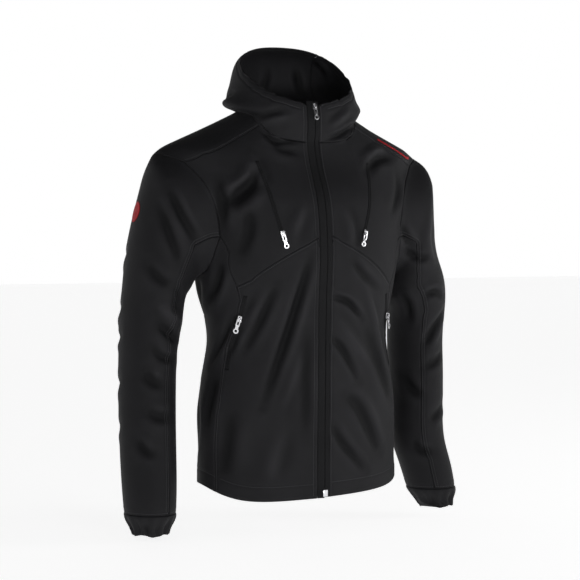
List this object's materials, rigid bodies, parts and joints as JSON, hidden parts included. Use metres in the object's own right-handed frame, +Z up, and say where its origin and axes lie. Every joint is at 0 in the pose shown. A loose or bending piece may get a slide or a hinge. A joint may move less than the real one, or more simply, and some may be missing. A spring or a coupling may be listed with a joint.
{
  "type": "softshell jacket",
  "caption": "Black hooded softshell jacket, zipped up the front, filled out with no wearer: panelled chest, gathered cuffs, silver zips, red shoulder strip and round sleeve patch.",
  "frame": {"origin": "centre of the neck, level with the neck ends of the shoulders, where the jacket hangs on a wearer or a form", "axes": "+Z up, -Y the jacket's front, -X the wearer's right, +X the wearer's left"},
  "size_m": [0.681, 0.2629, 0.8911],
  "materials": {
    "softshell": "matt woven face with a soft sheen",
    "zip_tape": "matt woven tape",
    "red_trim": "plain woven, slightly shiny",
    "silver_metal": "bright plated"
  },
  "bodies": {
    "jacket": {"chest_left": "softshell", "chest_right": "softshell", "front_left": "softshell", "front_right": "softshell", "side_left": "softshell", "side_right": "softshell", "back": "softshell", "yoke": "softshell", "sleeve_outer_left": "softshell", "sleeve_outer_right": "softshell", "sleeve_under_left": "softshell", "sleeve_under_right": "softshell", "cuff_left": "softshell", "cuff_right": "softshell", "hood_side_left": "softshell", "hood_centre": "softshell", "hood_side_right": "softshell", "zip_tape_left": "zip_tape", "zip_tape_right": "zip_tape", "chest_zip_left": "zip_tape", "chest_zip_right": "zip_tape", "hand_zip_left": "zip_tape", "hand_zip_right": "zip_tape", "shoulder_strip": "red_trim", "arm_patch": "red_trim", "slider_chest_left": "silver_metal", "slider_chest_right": "silver_metal", "slider_hand_left": "silver_metal", "slider_hand_right": "silver_metal", "slider_main": "silver_metal", "zip_box": "silver_metal"},
    "pull_chest_left_body": {"pull_chest_left": "silver_metal"},
    "pull_chest_right_body": {"pull_chest_right": "silver_metal"},
    "pull_hand_left_body": {"pull_hand_left": "silver_metal"},
    "pull_hand_right_body": {"pull_hand_right": "silver_metal"},
    "pull_main_body": {"pull_main": "silver_metal"}
  },
  "joints": [
    {"name": "chest_left_pull_swing", "type": "hinge", "parent": "jacket", "child": "pull_chest_left_body", "pos_m": [0.08029, -0.11436, -0.21979], "axis": [-0.926, -0.1386, 0.3512], "range_deg": [0, 160]},
    {"name": "hand_left_pull_swing", "type": "hinge", "parent": "jacket", "child": "pull_hand_left_body", "pos_m": [0.15222, -0.0687, -0.37294], "axis": [-0.7292, -0.6108, -0.3085], "range_deg": [-9, 151]},
    {"name": "chest_right_pull_swing", "type": "hinge", "parent": "jacket", "child": "pull_chest_right_body", "pos_m": [-0.0868, -0.11394, -0.22215], "axis": [-0.9462, 0.1715, -0.2745], "range_deg": [-1, 158]},
    {"name": "hand_right_pull_swing", "type": "hinge", "parent": "jacket", "child": "pull_hand_right_body", "pos_m": [-0.15233, -0.06892, -0.37371], "axis": [-0.7577, 0.5846, 0.2902], "range_deg": [-15, 145]},
    {"name": "main_pull_swing", "type": "hinge", "parent": "jacket", "child": "pull_main_body", "pos_m": [0, -0.06796, 0.00993], "axis": [-1, 0, 0], "range_deg": [0, 160]}
  ]
}
